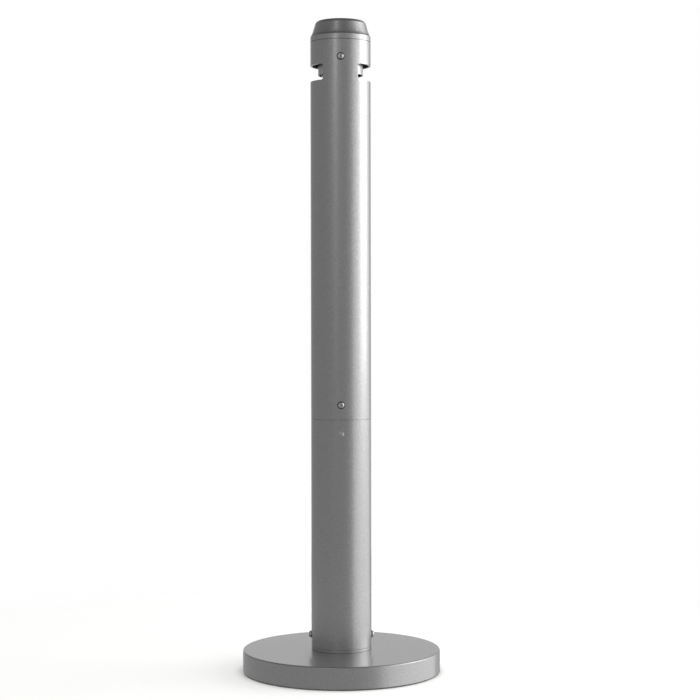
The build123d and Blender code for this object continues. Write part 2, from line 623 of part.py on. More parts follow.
def canister_bail():
    """Wire bail, lying back on the rim, with its ends turned in through the ears."""
    leg_end, bend, centre = EAR_INNER_X - WIRE_END_OVERRUN, BAIL_BEND_RADIUS, BAIL_RADIUS - BAIL_BEND_RADIUS
    path = Line((leg_end, 0), (centre, 0))
    path += CenterArc((centre, bend), bend, 270, 90)
    path += CenterArc((0, bend), BAIL_RADIUS, 0, 180)
    path += CenterArc((-centre, bend), bend, 180, 90)
    path += Line((-centre, 0), (-leg_end, 0))
    section = Plane((leg_end, 0, 0), z_dir=(1, 0, 0)) * Circle(WIRE_OD / 2)
    return Pos(0, 0, PIVOT_Z) * sweep(section, path=path)


# ---------------------------------------------------------------- all the pieces
PIECES = [
    base_cover,
    base_ballast,
    base_plate,
    rubber_feet,
    foot_screws,
    socket_bolts,
    socket_washers,
    socket_gasket,
    pole_socket,
    lower_tube,
    base_screws,
    base_screw_washers,
    coupling_ring,
    coupling_rivets,
    upper_tube,
    lock_nut,
    lock_washer,
    lock_screw,
    head_collar,
    head_dome,
    head_screws,
    head_screw_washers,
    baffle_tube,
    dome_screws,
    dome_washers,
    canister_body,
    canister_bottom,
    canister_rim,
    canister_ears,
    ear_rivets,
    canister_bail,
]

os.makedirs("parts", exist_ok=True)
for piece in PIECES:
    shape = piece()
    if isinstance(shape, list):
        shape = Compound(children=shape)
    export_step(shape, "parts/" + piece.__name__ + ".step")
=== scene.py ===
import json
import math

import bpy
from bpy.props import FloatProperty, FloatVectorProperty, IntProperty, PointerProperty, StringProperty
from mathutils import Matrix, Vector


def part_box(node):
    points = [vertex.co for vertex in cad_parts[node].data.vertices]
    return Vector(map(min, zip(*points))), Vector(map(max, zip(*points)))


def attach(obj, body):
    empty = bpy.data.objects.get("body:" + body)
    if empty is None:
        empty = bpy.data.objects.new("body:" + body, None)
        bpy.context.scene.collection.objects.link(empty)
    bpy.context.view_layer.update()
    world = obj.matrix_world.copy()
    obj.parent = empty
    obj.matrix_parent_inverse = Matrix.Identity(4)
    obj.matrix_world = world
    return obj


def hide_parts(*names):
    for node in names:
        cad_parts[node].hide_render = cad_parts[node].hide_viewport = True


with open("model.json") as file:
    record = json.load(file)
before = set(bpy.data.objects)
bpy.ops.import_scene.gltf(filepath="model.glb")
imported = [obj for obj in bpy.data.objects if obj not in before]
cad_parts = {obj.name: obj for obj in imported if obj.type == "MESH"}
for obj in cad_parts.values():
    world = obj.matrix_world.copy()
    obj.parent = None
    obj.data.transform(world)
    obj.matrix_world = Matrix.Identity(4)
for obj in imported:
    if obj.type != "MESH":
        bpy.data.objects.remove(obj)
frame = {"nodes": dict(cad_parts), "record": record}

bl_info = {
    "name": "Free-standing Ash Post",
    "version": (1, 0, 0),
    "blender": (4, 5, 0),
    "location": "3D View > Sidebar > Ash Post",
    "description": "Builds the painted shells, screws, canister and studio of a free-standing ash post",
    "category": "Object",
}

MM = 0.001

# Boxes of the design's own pieces, which give the places here
COVER_LOW, COVER_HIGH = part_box("base_cover")
FEET_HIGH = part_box("rubber_feet")[1]
SOCKET_LOW, SOCKET_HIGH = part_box("pole_socket")
BOLT_WASHERS_LOW, BOLT_WASHERS_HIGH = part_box("socket_washers")
LOWER_LOW, LOWER_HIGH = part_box("lower_tube")
UPPER_LOW, UPPER_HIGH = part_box("upper_tube")
COLLAR_LOW, COLLAR_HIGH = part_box("head_collar")
DOME_LOW, DOME_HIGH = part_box("head_dome")
BAFFLE_LOW, BAFFLE_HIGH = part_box("baffle_tube")
LOCK_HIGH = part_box("lock_screw")[1]
WASHER_LOW, WASHER_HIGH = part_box("lock_washer")
NUT_LOW, NUT_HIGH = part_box("lock_nut")
CAN_LOW, CAN_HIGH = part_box("canister_body")
RIM_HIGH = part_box("canister_rim")[1]
TUBE_RADIUS = LOWER_HIGH.x


def middle_height(box):
    """The height halfway up a box."""
    return (box[0].z + box[1].z) / 2


FOOT_SCREWS_Z = middle_height(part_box("base_screws"))
HEAD_SCREWS_Z = middle_height(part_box("head_screws"))
LOCK_SCREW_Z = middle_height(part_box("lock_screw"))
RIVETS_Z = middle_height(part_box("coupling_rivets"))

FRONT, BACK, RIGHT, LEFT = -90.0, 90.0, 0.0, 180.0
THREE_WAYS = [FRONT + 120 * i for i in range(3)]  # the rivets and the dome's screws sit evenly round the axis

THREAD_FIT = 0.02 * MM  # between a screw and the hole that it cuts its thread in
SHANK_FIT = 0.05 * MM  # round a rivet, and round the rim's neck


# ---------------------------------------------------------------- sizes and colours
def length(name, default_mm, text):
    """A length property, given in millimetres."""
    return FloatProperty(name=name, description=text, default=default_mm * MM, unit="LENGTH", precision=5)


def angle(name, default_degrees, text):
    """An angle property, given in degrees."""
    return FloatProperty(name=name, description=text, default=math.radians(default_degrees), unit="ROTATION")


def sheen(name, default, text):
    """A share from 0 to 1."""
    return FloatProperty(name=name, description=text, default=default, min=0.0, max=1.0, subtype="FACTOR")


def colour(name, code, text):
    """A colour property from an sRGB hex code."""
    return FloatVectorProperty(
        name=name, description=text, default=linear(code), size=4, min=0, max=1, subtype="COLOR",
    )


def power(name, watts, text):
    """The power of a light, in watts."""
    return FloatProperty(name=name, description=text, default=watts, unit="POWER")


def linear(code):
    """An sRGB hex code as a linear colour with full alpha."""
    parts = [int(code[i:i + 2], 16) / 255 for i in (1, 3, 5)]
    return tuple(c / 12.92 if c <= 0.04045 else ((c + 0.055) / 1.055) ** 2.4 for c in parts) + (1.0,)


class AshPostTubes(bpy.types.PropertyGroup):
    wall: length("Wall", 3.2, "Thickness of the post's tube")
    edge: length("Edge rounding", 0.55, "Rounding of the tube's painted edges")
    slot_height: length("Slot height", 26.8, "Height of the two side slots")
    slot_drop: length("Slot drop", 39.5, "Top of the slots below the end of the upper tube")
    slot_corner: length("Slot corner", 3.5, "Radius in the inner corners of the slots")
    pillar: length("Pillar width", 58.2, "Width of the tube left between the slots")
    hole: length("Screw hole", 6.6, "Diameter of the clearance holes for the screws")
    joint_gap: length("Joint gap", 0.8, "Open joint between two painted edges, which reads as a dark line")
    segments: IntProperty(name="Segments", description="Sides of the round pieces", default=160, min=24)


class AshPostBase(bpy.types.PropertyGroup):
    wall: length("Cover wall", 1.5, "Thickness of the drawn steel cover")
    edge: length("Cover edge", 2.5, "Radius along the top edge of the cover")
    hem: length("Cover hem", 0.35, "Rounding of the cover's lower rim")
    bolt_hole: length("Bolt hole", 8.6, "Diameter of the holes under the socket")
    foot_groove: length("Foot groove", 0.8, "Depth of the grip grooves under a foot")
    foot_counterbore: length("Foot counterbore", 11.0, "Diameter of the recess for a foot's screw")
    foot_counterbore_depth: length("Counterbore depth", 5.0, "Depth of the recess for a foot's screw")
    foot_hole: length("Foot hole", 4.6, "Diameter of a foot's screw hole")
    foot_top: length("Foot top", 26.0, "Diameter of a foot at the plate")
    foot_bottom: length("Foot bottom", 22.0, "Diameter of a foot at the floor")
    segments: IntProperty(name="Segments", description="Sides of the base disc", default=288, min=24)


class AshPostSocket(bpy.types.PropertyGroup):
    lip: length("Lip", 0.6, "The shoulder's rim hangs this far over the gasket")
    lip_wall: length("Lip wall", 0.4, "Thickness of that rim")
    shoulder: length("Shoulder", 4.0, "Height of the shoulder under the tube")
    floor: length("Floor", 7.0, "Thickness of the socket's floor")
    wall: length("Wall", 6.0, "Thickness of the spigot")
    lead_in: length("Lead-in", 1.5, "Chamfer at the top of the spigot")
    bolt_hole: length("Bolt hole", 8.04, "Diameter of the tapped bolt holes")


class AshPostHead(bpy.types.PropertyGroup):
    band: length("Collar band", 9.0, "Height of the collar's straight band")
    top_inset: length("Collar top inset", 1.1, "Inset of the collar's top edge")
    skirt_wall: length("Skirt wall", 5.0, "Thickness of the collar's skirt")
    plug_gap: length("Plug gap", 0.15, "Gap between the skirt and the tube")
    relief: length("Skirt relief", 24.0, "The skirt's sides end this far below the tube's end")
    web: length("Collar web", 6.0, "Thickness of the collar's web")
    web_hole: length("Web hole", 24.0, "Diameter of the hole in the web")
    foot_inset: length("Dome foot inset", 1.3, "Inset of the dome's lower edge")
    foot_gap: length("Dome foot gap", 0.25, "Open joint under the dome's lower edge")
    foot_chamfer: length("Dome foot chamfer", 0.35, "Chamfer of the dome's lower edge")
    knee_inset: length("Dome knee inset", 3.8, "Inset of the dome where its side steepens")
    knee_height: length("Dome knee height", 6.0, "Height of that place above the collar")
    top_dome_inset: length("Dome top inset", 9.4, "Inset where the side would meet the top")
    corner: length("Dome corner", 8.0, "Radius between the dome's side and top")
    crown: length("Dome crown", 0.5, "Rise of the dome's top in its middle")
    wall: length("Dome wall", 3.5, "Thickness of the dome casting")
    boss: length("Boss", 11.0, "Diameter of the dome's screw bosses")
    boss_hole: length("Boss hole", 5.04, "Diameter of the holes in the bosses")
    boss_circle: length("Boss circle", 50.0, "Diameter of the circle through the bosses")
    baffle_wall: length("Baffle wall", 1.5, "Thickness of the baffle tube")
    baffle_flange: length("Baffle flange", 2.0, "Thickness of the baffle's flange")


class AshPostScrews(bpy.types.PropertyGroup):
    head: length("Head", 10.5, "Diameter of a button head")
    head_height: length("Head height", 3.3, "Height of a button head")
    head_flat: length("Head flat", 5.6, "Diameter of the flat on a button head")
    shank: length("Shank", 6.0, "Diameter of the thread's crests")
    root: length("Root", 5.0, "Diameter of the thread's roots")
    pitch: length("Pitch", 1.0, "Distance from thread to thread")
    socket: length("Socket", 4.0, "Size of the hex socket across its flats")
    socket_depth: length("Socket depth", 2.1, "Depth of the hex socket")
    base_reach: length("Foot screw reach", 10.05, "Length of a foot screw under its head")
    head_reach: length("Head screw reach", 9.05, "Length of a head screw under its head")
    rivet_head: length("Rivet head", 9.5, "Diameter of a coupling rivet's head")
    rivet_height: length("Rivet head height", 1.5, "Height of a coupling rivet's head")
    rivet_shank: length("Rivet shank", 4.8, "Diameter of a coupling rivet")
    rivet_reach: length("Rivet reach", 9.05, "Length of a coupling rivet under its head")


class AshPostCanister(bpy.types.PropertyGroup):
    wall: length("Wall", 0.8, "Thickness of the canister's sheet")
    bead: length("Bead depth", 0.7, "Depth of the stiffening beads")
    bead_width: length("Bead width", 6.0, "Width of a stiffening bead")
    bead_edge: length("Bead place", 42.0, "Distance of the beads from the ends")
    rim: length("Rim sheet", 1.0, "Thickness of the rim's flange")
    neck: length("Neck", 10.5, "Depth of the rim's neck inside the body")
    lip: length("Lip", 3.5, "Height of the rim's lip")
    rivet_hole: length("Rivet hole", 2.5, "Diameter of the holes for the ear rivets")
    rivet_drop: length("Rivet drop", 5.5, "Ear rivets below the rim")
    rivet_spacing: length("Rivet spacing", 6.0, "Distance between an ear's two rivets")
    notch_gap: length("Notch gap", 1.0, "Gap beside the lock nut in the rim's notch")


class AshPostFinishes(bpy.types.PropertyGroup):
    paint: colour("Paint", "#C4C4C4", "Silver powder coat")
    # painted shade: a darker copy of the silver, standing in for flakes that face away from the light
    paint_shaded_flake: colour("Paint, dark flake", "#B5B5B5", "Flakes that lie away from the light")
    paint_roughness: sheen("Paint roughness", 0.42, "Spread of the metallic layer's highlight")
    paint_coat: sheen("Paint coat", 1.0, "Weight of the clear layer")
    paint_coat_roughness: sheen("Clear layer roughness", 0.15, "Spread of the clear layer's highlight")
    flake: length("Flake", 1.3, "Size of a group of metal flakes")
    flake_tilt: sheen("Flake tilt", 0.038, "How far the flakes lean out of the surface")
    stainless: colour("Stainless", "#DADADA", "Stainless steel of the screws")
    zinc: colour("Zinc", "#B9BCC0", "Bright zinc plate")
    galvanised: colour("Galvanised", "#A3A8AB", "Hot-dip zinc on sheet")
    aluminium: colour("Aluminium", "#CFCFCF", "Turned aluminium")
    rubber: colour("Rubber", "#1B1B1C", "Moulded rubber")
    nylon: colour("Nylon", "#1F2021", "Black nylon")
    concrete: colour("Concrete", "#8C8983", "Cast concrete")
    floor: colour("Floor", "#F4F4F2", "Studio floor")


class AshPostStage(bpy.types.PropertyGroup):
    distance: length("Camera distance", 2999.7, "From the post's axis to the camera")
    height: length("Camera height", 600.6, "Camera above the floor")
    pitch: angle("Camera pitch", 1.10, "Camera turned down")
    yaw: angle("Camera yaw", 0.292, "Camera turned to the right")
    roll: angle("Camera roll", 0.096, "Camera turned clockwise")
    lens: FloatProperty(
        name="Lens", description="Focal length on a 36 mm sensor", default=91.35, subtype="DISTANCE_CAMERA",
    )
    surround: sheen("Surround", 0.295, "Brightness of the room at eye level")
    dim: sheen("Dimming", 0.4, "Share of that brightness overhead and underneath")
    floor_gloss: sheen("Floor in the metal", 0.1, "How strongly the metal mirrors the floor")
    wide_light: power("Wide light", 47, "The wide wall of light on the right")
    side_light: power("Side light", 16, "The softbox on the right")
    strip_light: power("Strip light", 4.0, "The tall strip light in front")
    low_strip: power("Low strip", 0.15, "The strip under that one")
    back_light: power("Back light", 4.4, "The lit backdrop")
    top_light: power("Top light", 110, "The light overhead, which only the floor shows")


class AshPostSettings(bpy.types.PropertyGroup):
    tubes: PointerProperty(type=AshPostTubes, name="Tubes", description="Sizes of the post's tubes")
    base: PointerProperty(type=AshPostBase, name="Base", description="Sizes of the base")
    socket: PointerProperty(type=AshPostSocket, name="Socket", description="Sizes of the socket")
    head: PointerProperty(type=AshPostHead, name="Head", description="Sizes of the head")
    screws: PointerProperty(type=AshPostScrews, name="Screws", description="Sizes of the screws and rivets")
    canister: PointerProperty(type=AshPostCanister, name="Canister", description="Sizes of the canister")
    finishes: PointerProperty(type=AshPostFinishes, name="Finishes", description="Colours and gloss")
    stage: PointerProperty(type=AshPostStage, name="Stage", description="Camera and lights")
    last_piece: StringProperty(name="Last piece", description="The piece that was made last")


# ---------------------------------------------------------------- modelling helpers
def pick(*pieces):
    """Selects just these objects, the first of them active, in object mode."""
    if bpy.context.object and bpy.context.object.mode != "OBJECT":
        bpy.ops.object.mode_set(mode="OBJECT")
    bpy.ops.object.select_all(action="DESELECT")
    for piece in pieces:
        piece.select_set(True)
    if pieces:
        bpy.context.view_layer.objects.active = pieces[0]


def named(name):
    """Names the object that was just added."""
    piece = bpy.context.object
    piece.name = piece.data.name = name
    return piece


def settle(piece):
    """Puts a piece's place, turn and scale into its mesh."""
    pick(piece)
    bpy.ops.object.transform_apply(location=True, rotation=True, scale=True)
    return piece


def arc(centre, radius, start, end, steps):
    """Points on a round stretch of an outline, from one angle to another in degrees."""
    turns = [math.radians(start + (end - start) * i / steps) for i in range(steps + 1)]
    return [(centre[0] + radius * math.cos(t), centre[1] + radius * math.sin(t)) for t in turns]


def raise_ring(start, end):
    """Extrudes the selected ring of edges from one (radius, height) to the next."""
    bpy.ops.mesh.extrude_edges_move(TRANSFORM_OT_translate={"value": (0, 0, end[1] - start[1])})
    share = end[0] / start[0]
    bpy.ops.transform.resize(value=(share, share, 1), center_override=(0, 0, end[1]))


def close_ring(start, height):
    """Closes the selected ring of edges to a point on the axis."""
    bpy.ops.mesh.extrude_edges_move(TRANSFORM_OT_translate={"value": (0, 0, height - start[1])})
    bpy.ops.mesh.merge(type="COLLAPSE")


def turn(name, outline, segments):
    """Turns an outline of (radius, height) points: a circle is extruded and resized ring by ring.

    An outline that starts and ends on the axis makes a solid, and any other is closed into a ring."""
    solid = outline[0][0] == 0
    rings = outline[1:-1] if solid else outline + outline[:1]
    pick()
    radius, height = rings[0]
    bpy.ops.mesh.primitive_circle_add(
        vertices=segments, radius=radius, fill_type="NOTHING", location=(0, 0, height),
    )
    piece = named(name)
    bpy.ops.object.mode_set(mode="EDIT")
    bpy.ops.mesh.select_mode(type="VERT")
    bpy.ops.mesh.select_all(action="SELECT")
    for start, end in zip(rings, rings[1:]):
        raise_ring(start, end)
    if solid:
        close_ring(rings[-1], outline[-1][1])
        bpy.ops.mesh.select_all(action="DESELECT")
        bpy.ops.mesh.select_non_manifold(extend=False, use_wire=False, use_multi_face=False, use_verts=False)
        close_ring(rings[0], outline[0][1])
    bpy.ops.mesh.select_all(action="SELECT")
    bpy.ops.mesh.remove_doubles(threshold=0.001 * MM)
    bpy.ops.mesh.normals_make_consistent(inside=False)
    bpy.ops.object.mode_set(mode="OBJECT")
    return settle(piece)


def modify(piece, kind, **settings):
    """Adds a modifier with its settings and applies it."""
    pick(piece)
    bpy.ops.object.modifier_add(type=kind)
    modifier = piece.modifiers[-1]
    for name, value in settings.items():
        setattr(modifier, name, value)
    bpy.ops.object.modifier_apply(modifier=modifier.name)


def cut(piece, *cutters, operation="DIFFERENCE"):
    """Cuts cutters out of a piece, or joins them to it, and deletes them."""
    for cutter in cutters:
        modify(piece, "BOOLEAN", object=cutter, operation=operation, solver="EXACT")
        pick(cutter)
        bpy.ops.object.delete()


def facing(angle_degrees):
    """The turn that points +Z straight out of the post at an angle round it."""
    t = math.radians(angle_degrees)
    return Vector((math.cos(t), math.sin(t), 0)).to_track_quat("Z", "Y")


def place_out(piece, radius, angle_degrees, height):
    """Lays a piece that was made along +Z so that it points out of the post at a radius and height."""
    turn_out = facing(angle_degrees)
    piece.rotation_euler = turn_out.to_euler()
    piece.location = turn_out @ Vector((0, 0, radius)) + Vector((0, 0, height))
    return settle(piece)


def side_drill(radius, angle_degrees, height, sides=32):
    """A round cutter from the post's axis out through one wall."""
    pick()
    reach = 2 * TUBE_RADIUS
    bpy.ops.mesh.primitive_cylinder_add(vertices=sides, radius=radius, depth=reach)
    return place_out(named("drill"), reach / 2, angle_degrees, height)


def upright_drill(radius, x, y, low, high, sides=32):
    """An upright round cutter between two heights."""
    pick()
    middle = (x, y, (low + high) / 2)
    bpy.ops.mesh.primitive_cylinder_add(vertices=sides, radius=radius, depth=high - low, location=middle)
    return settle(named("drill"))


def side_cutter(low, high, inside, corner, mirrored):
    """A block that opens one side of a tube, with its two inner corners rounded."""
    pick()
    bpy.ops.mesh.primitive_cube_add(size=1, location=(inside + TUBE_RADIUS / 2, 0, (low + high) / 2))
    block = named("side_cutter")
    block.scale = (TUBE_RADIUS, 2.4 * TUBE_RADIUS, high - low)
    settle(block)
    bpy.ops.object.mode_set(mode="EDIT")
    bpy.ops.mesh.select_mode(type="EDGE")
    bpy.ops.mesh.select_all(action="DESELECT")
    bpy.ops.object.mode_set(mode="OBJECT")
    points = [v.co for v in block.data.vertices]
    for edge in block.data.edges:
        a, b = (points[i] for i in edge.vertices)
        edge.select = abs(a.y - b.y) > TUBE_RADIUS and max(a.x, b.x) < inside + MM
    bpy.ops.object.mode_set(mode="EDIT")
    bpy.ops.mesh.bevel(offset=corner, segments=6, affect="EDGES")
    bpy.ops.object.mode_set(mode="OBJECT")
    if mirrored:
        block.rotation_euler = (0, 0, math.pi)
        settle(block)
    return block


def round_edges(piece, width, segments=3, limit=35):
    """Rounds a piece's sharp edges."""
    modify(
        piece, "BEVEL", width=width, segments=segments, limit_method="ANGLE", angle_limit=math.radians(limit),
        use_clamp_overlap=True, harden_normals=False,
    )


def hand_over(piece, body, slot, *nodes, smooth=40):
    """Shades a finished piece, gives it its material, and hands it to its body in the frame."""
    pick(piece)
    bpy.ops.object.shade_smooth_by_angle(angle=math.radians(smooth))
    modify(piece, "WEIGHTED_NORMAL", keep_sharp=True, weight=80)
    piece.data.materials.clear()
    piece.data.materials.append(bpy.data.materials[FINISH_OF_SLOT[slot]])
    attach(piece, body)
    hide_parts(*nodes)
    bpy.context.scene.ash_post.last_piece = piece.name


def copy_of(piece, name):
    """A copy of a piece with its own mesh."""
    pick(piece)
    bpy.ops.object.duplicate(linked=False)
    return named(name)


# ---------------------------------------------------------------- material helpers
def add(tree, kind, inputs=(), **settings):
    """Adds a node with its settings. An input is a value, or the socket that it is linked to."""
    node = tree.nodes.new(kind)
    for name, value in settings.items():
        setattr(node, name, value)
    for name, value in dict(inputs).items():
        if isinstance(value, bpy.types.NodeSocket):
            tree.links.new(value, node.inputs[name])
        else:
            node.inputs[name].default_value = value
    return node


def new_material(name, fixed=()):
    """A node material with fixed values on its shader: its tree, its shader and its object coordinates."""
    material = bpy.data.materials.new(name)
    material.use_nodes = True
    tree = material.node_tree
    tree.nodes.clear()
    shader = add(tree, "ShaderNodeBsdfPrincipled", fixed)
    add(tree, "ShaderNodeOutputMaterial", {"Surface": shader.outputs["BSDF"]})
    place = add(tree, "ShaderNodeTexCoord").outputs["Object"]
    return tree, shader, place


def per(size):
    """The scale of a pattern whose features are about this long."""
    return 1.0 / size


def give_tooth(tree, shader, pattern, smooth, rough, strength=0.0, depth=0.0, span=(0.3, 0.7)):
    """Lets a pattern set how rough a surface is, between two values, and raise it if there is a strength."""
    share = add(
        tree, "ShaderNodeMapRange",
        {"Value": pattern, "From Min": span[0], "From Max": span[1], "To Min": smooth, "To Max": rough},
    )
    tree.links.new(share.outputs[0], shader.inputs["Roughness"])
    if strength:
        bump = add(tree, "ShaderNodeBump", {"Height": pattern, "Strength": strength, "Distance": depth})
        tree.links.new(bump.outputs["Normal"], shader.inputs["Normal"])


def silver_powder_coat(looks):
    """Metallic silver powder coat, sprayed and stoved: bright flakes, a clear layer, faint orange peel."""
    tree, shader, place = new_material("silver powder coat", {
        "Metallic": 1.0, "Roughness": looks.paint_roughness, "Coat Weight": looks.paint_coat,
        "Coat Roughness": looks.paint_coat_roughness,
    })
    # flakes in groups: real ones are 0.05 mm, drawn coarser so that their sparkle shows
    flakes = add(tree, "ShaderNodeTexVoronoi", {"Vector": place, "Scale": per(looks.flake)})
    tone = add(tree, "ShaderNodeSeparateColor", {"Color": flakes.outputs["Color"]})
    # painted shade: flake groups take the darker copy of the silver at random, standing in for flakes that
    # face away from the light; the tilt below also shades them through their normals
    silvers = {"Factor": tone.outputs["Red"], 6: looks.paint_shaded_flake, 7: looks.paint}
    paint = add(tree, "ShaderNodeMix", silvers, data_type="RGBA")
    tree.links.new(paint.outputs[2], shader.inputs["Base Color"])
    # each group is tilted a little, so neighbours catch the light differently
    flake, middle = flakes.outputs["Color"], (0.5, 0.5, 0.5)
    centred = add(tree, "ShaderNodeVectorMath", {0: flake, 1: middle}, operation="SUBTRACT").outputs[0]
    tilt = add(tree, "ShaderNodeVectorMath", {0: centred, "Scale": looks.flake_tilt}, operation="SCALE")
    normal = add(tree, "ShaderNodeNewGeometry").outputs["Normal"]
    tilted = add(tree, "ShaderNodeVectorMath", {0: normal, 1: tilt.outputs[0]}, operation="ADD")
    even = add(tree, "ShaderNodeVectorMath", {0: tilted.outputs[0]}, operation="NORMALIZE")
    # orange peel, about 3 mm from crest to crest, in the clear layer and in the metal under it
    peel = add(tree, "ShaderNodeTexNoise", {"Vector": place, "Scale": per(3.0 * MM), "Detail": 2.0})
    waves = {"Height": peel.outputs["Fac"], "Strength": 0.06, "Distance": 0.2 * MM}
    clear = add(tree, "ShaderNodeBump", waves)
    metal = add(tree, "ShaderNodeBump", waves | {"Normal": even.outputs[0]})
    tree.links.new(clear.outputs["Normal"], shader.inputs["Coat Normal"])
    tree.links.new(metal.outputs["Normal"], shader.inputs["Normal"])


def stainless_steel(looks):
    """Cold-headed stainless steel, then tumbled: bright but satin, with a fine grain in the highlight."""
    tree, shader, place = new_material("stainless steel", {"Base Color": looks.stainless, "Metallic": 1.0})
    grain = add(tree, "ShaderNodeTexNoise", {"Vector": place, "Scale": per(0.8 * MM), "Detail": 3.0})
    give_tooth(tree, shader, grain.outputs["Fac"], 0.26, 0.40, 0.1, 0.05 * MM)


def zinc_plate(looks):
    """Bright zinc plate on steel, clear passivated: cool metal with a faint cloudy bloom."""
    tree, shader, place = new_material("zinc plate", {"Metallic": 1.0})
    clouds = add(tree, "ShaderNodeTexNoise", {"Vector": place, "Scale": per(9.0 * MM), "Detail": 4.0})
    bloom = clouds.outputs["Fac"]
    greys = {"Factor": bloom, 6: looks.zinc, 7: linear("#C9C6BC")}
    tint = add(tree, "ShaderNodeMix", greys, data_type="RGBA")
    tree.links.new(tint.outputs[2], shader.inputs["Base Color"])
    give_tooth(tree, shader, bloom, 0.26, 0.42)


def galvanised_sheet(looks):
    """Hot-dip galvanised sheet: flat zinc crystals of different greys and gloss, the spangle."""
    tree, shader, place = new_material("galvanised sheet", {"Metallic": 1.0})
    wobble = add(tree, "ShaderNodeTexNoise", {"Vector": place, "Scale": per(6.0 * MM), "Detail": 2.0})
    pull = {0: wobble.outputs["Color"], "Scale": 4.0 * MM}
    pulled = add(tree, "ShaderNodeVectorMath", pull, operation="SCALE")
    bent = add(tree, "ShaderNodeVectorMath", {0: place, 1: pulled.outputs[0]}, operation="ADD")
    crystals = add(tree, "ShaderNodeTexVoronoi", {"Vector": bent.outputs[0], "Scale": per(9.0 * MM)})
    tone = add(tree, "ShaderNodeSeparateColor", {"Color": crystals.outputs["Color"]})
    greys = {"Factor": tone.outputs["Green"], 6: looks.galvanised, 7: linear("#C3C8CB")}
    tint = add(tree, "ShaderNodeMix", greys, data_type="RGBA")
    tree.links.new(tint.outputs[2], shader.inputs["Base Color"])
    give_tooth(tree, shader, tone.outputs["Red"], 0.30, 0.50, span=(0.0, 1.0))


def turned_aluminium(looks):
    """Aluminium as it leaves the lathe: fine feed lines round the axis, which draw the highlight out."""
    tree, shader, place = new_material("turned aluminium", {"Base Color": looks.aluminium, "Metallic": 1.0})
    height = add(tree, "ShaderNodeSeparateXYZ", {"Vector": place})
    along = add(tree, "ShaderNodeCombineXYZ", {"Z": height.outputs["Z"]}).outputs[0]
    # feed lines are 0.2 mm apart, drawn at 0.7 mm so that they show
    feed = add(tree, "ShaderNodeTexNoise", {"Vector": along, "Scale": per(0.7 * MM), "Detail": 2.0})
    give_tooth(tree, shader, feed.outputs["Fac"], 0.34, 0.48, 0.35, 0.05 * MM)


def moulded_rubber(looks):
    """Compression-moulded EPDM rubber: nearly black, dull, with the mould's fine texture."""
    tree, shader, place = new_material("moulded rubber", {"Base Color": looks.rubber, "IOR": 1.52})
    texture = add(tree, "ShaderNodeTexNoise", {"Vector": place, "Scale": per(0.9 * MM), "Detail": 4.0})
    give_tooth(tree, shader, texture.outputs["Fac"], 0.7, 0.88, 0.25, 0.1 * MM)


def black_nylon(looks):
    """Injection-moulded nylon: black with a soft wax-like gloss."""
    tree, shader, place = new_material("black nylon", {"Base Color": looks.nylon, "IOR": 1.53})
    texture = add(tree, "ShaderNodeTexNoise", {"Vector": place, "Scale": per(0.6 * MM), "Detail": 2.0})
    give_tooth(tree, shader, texture.outputs["Fac"], 0.36, 0.5, 0.1, 0.05 * MM)


def cast_concrete(looks):
    """Fine concrete cast in a steel mould: pale grey skin, clouded, with sand grain."""
    tree, shader, place = new_material("cast concrete")
    sand = add(tree, "ShaderNodeTexNoise", {"Vector": place, "Scale": per(1.5 * MM), "Detail": 5.0})
    clouds = add(tree, "ShaderNodeTexNoise", {"Vector": place, "Scale": per(40.0 * MM), "Detail": 3.0})
    greys = {"Factor": clouds.outputs["Fac"], 6: looks.concrete, 7: linear("#A8A59E")}
    tint = add(tree, "ShaderNodeMix", greys, data_type="RGBA")
    tree.links.new(tint.outputs[2], shader.inputs["Base Color"])
    give_tooth(tree, shader, sand.outputs["Fac"], 0.82, 0.95, 0.5, 0.4 * MM)


MATERIAL_MAKERS = [
    silver_powder_coat, stainless_steel, zinc_plate, galvanised_sheet, turned_aluminium, moulded_rubber,
    black_nylon,
    cast_concrete,
]
FINISH_OF_SLOT = {
    "silver_paint": "silver powder coat",
    "stainless_screws": "stainless steel",
    "zinc_steel": "zinc plate",
    "zinc_wire": "zinc plate",
    "galvanised_sheet": "galvanised sheet",
    "mill_aluminium": "turned aluminium",
    "black_rubber": "moulded rubber",
    "black_nylon": "black nylon",
    "concrete": "cast concrete",
}


# ---------------------------------------------------------------- operators
class ASHPOST_OT_finishes(bpy.types.Operator):
    """Make every finish and put it on the pieces that the design already has right"""
    bl_idname = "ashpost.finishes"
    bl_label = "Finishes"

    def execute(self, context):
        for make in MATERIAL_MAKERS:
            make(context.scene.ash_post.finishes)
        for row in frame["record"]["subparts"]:
            node = frame["nodes"][row["node"]]
            finish = bpy.data.materials[FINISH_OF_SLOT[row["material_slot"]]]
            for material_slot in node.material_slots:
                material_slot.material = finish
        return {"FINISHED"}


class ASHPOST_OT_base_cover(bpy.types.Operator):
    """Draw the round cover of the base, with its rolled edge and bolt holes"""
    bl_idname = "ashpost.base_cover"
    bl_label = "Base cover"

    def execute(self, context):
        sizes = context.scene.ash_post.base
        radius = min(COVER_HIGH.x, COVER_HIGH.y)
        low, high, wall, edge = COVER_LOW.z, COVER_HIGH.z, sizes.wall, sizes.edge
        inner_edge = edge - wall
        outline = [(0, high - wall), (SOCKET_HIGH.x, high - wall)]
        outline += arc((radius - edge, high - edge), inner_edge, 90, 0, 4)
        outline += [(radius - wall, low), (radius, low)]
        outline += arc((radius - edge, high - edge), edge, 0, 90, 10)
        outline += [(SOCKET_HIGH.x, high), (0, high)]
        cover = turn("cover_shell", outline, sizes.segments)
        for x, y in bolt_places():
            cut(cover, upright_drill(sizes.bolt_hole / 2, x, y, high - 3 * wall, high + wall))
        round_edges(cover, sizes.hem, 2, 60)
        hand_over(cover, "lower_pole", "silver_paint", "base_cover")
        return {"FINISHED"}


def bolt_places():
    """Places of the four bolts under the socket."""
    washer_radius = 10.0 * MM
    offset = (BOLT_WASHERS_HIGH.x - BOLT_WASHERS_LOW.x) / 2 - washer_radius
    return [(x, y) for x in (-offset, offset) for y in (-offset, offset)]


